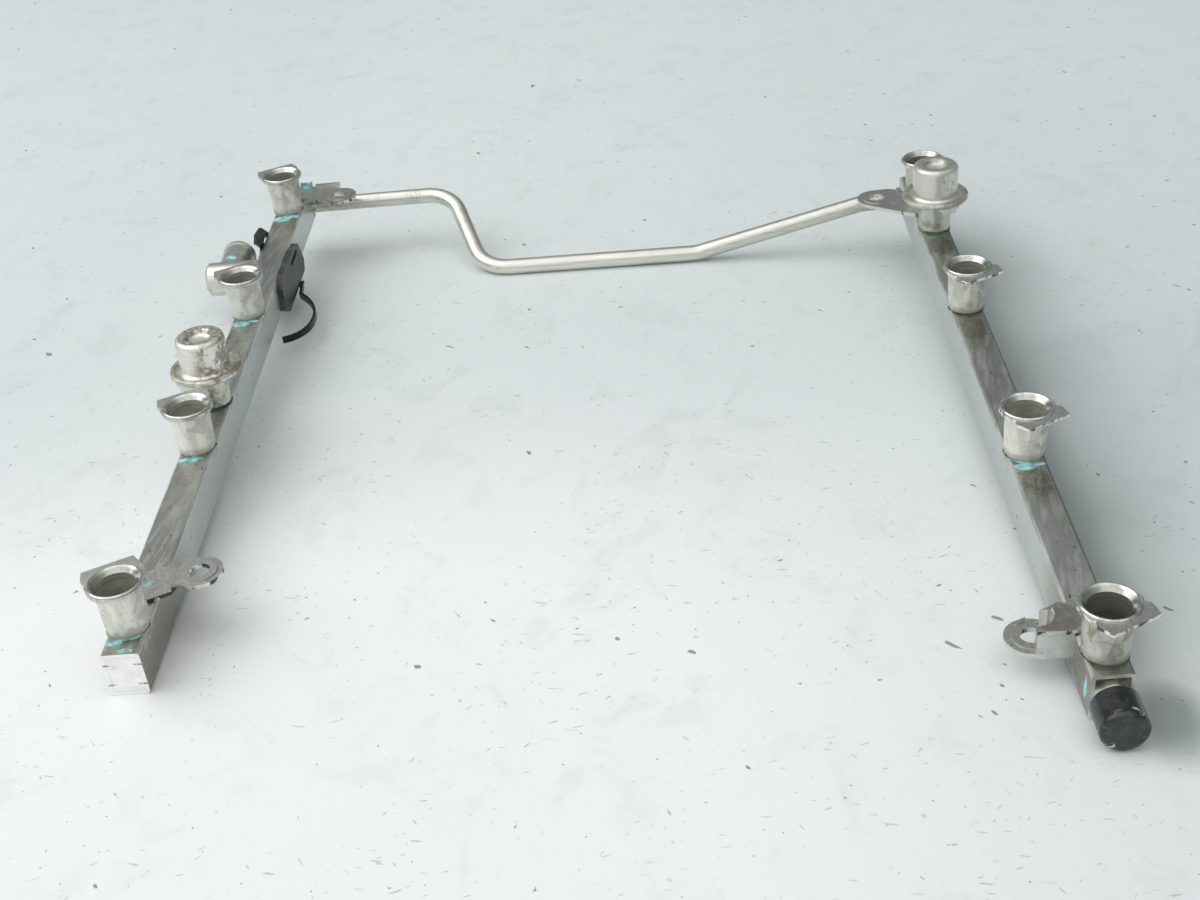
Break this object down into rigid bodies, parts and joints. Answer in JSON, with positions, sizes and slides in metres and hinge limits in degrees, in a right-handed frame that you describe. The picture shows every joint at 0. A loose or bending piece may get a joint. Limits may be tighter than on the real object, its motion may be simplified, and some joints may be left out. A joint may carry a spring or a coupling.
{
  "type": "fuel rail",
  "caption": "Twin-bank V-engine fuel rail: square steel rails with drawn injector cups, a pressure damper on each, stamped bolt ears and a bent crossover tube.",
  "frame": {"origin": "middle of the bounding box's underside, level with the lowest run of the crossover tube", "axes": "+Z along the injector axes, out of the cups; +Y along the rails from front to back; +X from the left rail to the right one"},
  "size_m": [0.362, 0.4382, 0.0652],
  "materials": {
    "rail_steel": "satin, scratched, stained brown in places",
    "plug_steel": "matt, staked",
    "cup_steel": "drawn, satin with a bright rolled mouth",
    "damper_steel": "satin with bright crimped edges",
    "bracket_steel": "stamped, satin, rough sheared edges",
    "tube_steel": "satin drawn tube",
    "port_steel": "turned, satin",
    "cap_plastic": "scuffed soft gloss",
    "clip_plastic": "moulded",
    "seal_rubber": "matt"
  },
  "bodies": {
    "root": {"bracket_left_front": "bracket_steel", "bracket_left_rear": "bracket_steel", "bracket_right_front": "bracket_steel", "bracket_right_rear": "bracket_steel", "cable_tie": "clip_plastic", "crossover_tube": "tube_steel", "damper_fork_left": "bracket_steel", "damper_fork_right": "bracket_steel", "damper_left": "damper_steel", "damper_oring_left": "seal_rubber", "damper_oring_right": "seal_rubber", "damper_right": "damper_steel", "damper_seat_left": "cup_steel", "damper_seat_right": "cup_steel", "end_plug_left_front": "plug_steel", "end_plug_left_rear": "plug_steel", "end_plug_right_front": "plug_steel", "end_plug_right_rear": "plug_steel", "harness_clip": "clip_plastic", "injector_cup_left_1": "cup_steel", "injector_cup_left_2": "cup_steel", "injector_cup_left_3": "cup_steel", "injector_cup_left_4": "cup_steel", "injector_cup_right_1": "cup_steel", "injector_cup_right_2": "cup_steel", "injector_cup_right_3": "cup_steel", "injector_cup_right_4": "cup_steel", "rail_tube_left": "rail_steel", "rail_tube_right": "rail_steel", "service_cap": "cap_plastic", "service_nipple": "port_steel", "side_port_body": "port_steel", "side_port_plug": "port_steel"}
  },
  "joints": []
}
